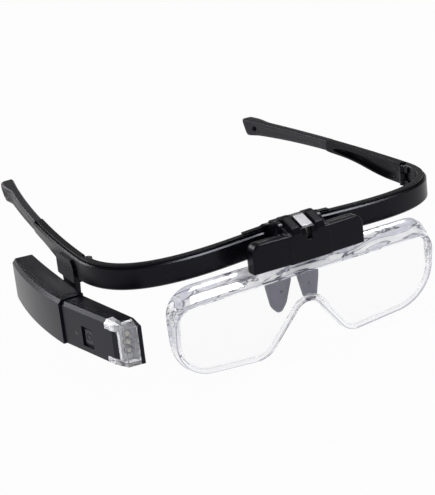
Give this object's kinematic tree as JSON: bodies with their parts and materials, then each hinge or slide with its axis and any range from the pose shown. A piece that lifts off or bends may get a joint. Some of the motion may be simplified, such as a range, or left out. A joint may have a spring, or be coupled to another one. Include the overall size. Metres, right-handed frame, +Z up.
{
  "type": "lighted magnifier glasses",
  "caption": "Head-worn magnifier glasses with folding temples, a flip-up clear magnifier over the nose and a tilting task lamp on one temple.",
  "frame": {"origin": "middle of the brow bar's flat back face", "axes": "+X to the wearer's left, +Y back along the temples, +Z up"},
  "size_m": [0.1642, 0.1461, 0.0533],
  "materials": {
    "frame_black": "satin black moulding",
    "bracket_black": "fine satin black moulding",
    "screw_black": "blackened steel",
    "pin_steel": "ground steel",
    "spring_steel": "bright spring steel",
    "pad_rubber": "soft grey rubber",
    "tip_rubber": "matte dark grey rubber",
    "lens_clear": "clear polished acrylic",
    "lamp_grey": "dark grey fine spark texture",
    "button_grey": "dark grey matte",
    "washer_nylon": "black nylon",
    "window_clear": "clear moulded window",
    "board_white": "white solder mask",
    "board_green": "green solder mask",
    "led_lens": "warm white domes",
    "reflector_grey": "light grey moulding",
    "cell_foil": "silver pouch foil",
    "wire_red": "red insulation",
    "switch_black": "black",
    "port_steel": "stamped steel"
  },
  "bodies": {
    "brow_frame": {"brow_bar": "frame_black", "hinge_bracket": "bracket_black", "bracket_screws": "screw_black", "flip_pin": "pin_steel", "nose_bridge": "bracket_black", "nose_screw": "screw_black", "left_nose_pad": "pad_rubber", "right_nose_pad": "pad_rubber", "left_hinge_screw": "screw_black", "right_hinge_screw": "screw_black"},
    "left_temple": {"left_temple_arm": "frame_black", "left_temple_tip": "tip_rubber"},
    "right_temple": {"right_temple_arm": "frame_black", "right_temple_tip": "tip_rubber", "lamp_bracket": "lamp_grey", "clip_screws": "screw_black", "tilt_washer": "washer_nylon", "tilt_screw": "screw_black"},
    "flip_holder": {"lens_holder": "bracket_black", "holder_back_plate": "bracket_black", "holder_screws": "screw_black", "detent_strip": "spring_steel"},
    "magnifier": {"magnifier_lens": "lens_clear"},
    "lamp": {"lamp_rear_housing": "lamp_grey", "lamp_front_housing": "lamp_grey", "lamp_inner_cover": "lamp_grey", "cover_screws": "screw_black", "lamp_window": "window_clear", "led_board": "board_white", "leds": "led_lens", "reflector": "reflector_grey", "battery_cell": "cell_foil", "lamp_wires": "wire_red", "control_board": "board_green", "tact_switch": "switch_black", "indicator_window": "window_clear", "charging_socket": "port_steel"},
    "button": {"power_button": "button_grey"}
  },
  "joints": [
    {"name": "left_temple_fold", "type": "hinge", "parent": "brow_frame", "child": "left_temple", "pos_m": [0.0722, 0.0225, 0], "axis": [0, 0, 1], "range_deg": [0, 80]},
    {"name": "right_temple_fold", "type": "hinge", "parent": "brow_frame", "child": "right_temple", "pos_m": [-0.0722, 0.0225, 0], "axis": [0, 0, -1], "range_deg": [0, 90]},
    {"name": "lens_flip", "type": "hinge", "parent": "brow_frame", "child": "flip_holder", "pos_m": [0, -0.0094, 0.0056], "axis": [-1, 0, 0], "range_deg": [0, 90]},
    {"name": "lens_release", "type": "slide", "parent": "flip_holder", "child": "magnifier", "axis": [0, 0, -1], "range_m": [0, 0.012]},
    {"name": "lamp_tilt", "type": "hinge", "parent": "right_temple", "child": "lamp", "pos_m": [-0.0762, 0.034, -0.0154], "axis": [-1, 0, 0], "range_deg": [-25, 15]},
    {"name": "power_press", "type": "slide", "parent": "lamp", "child": "button", "axis": [0.9899, 0.1419, 0], "range_m": [0, 0.0005], "stiffness_N_per_m": 400, "springref_m": -0.0003}
  ]
}
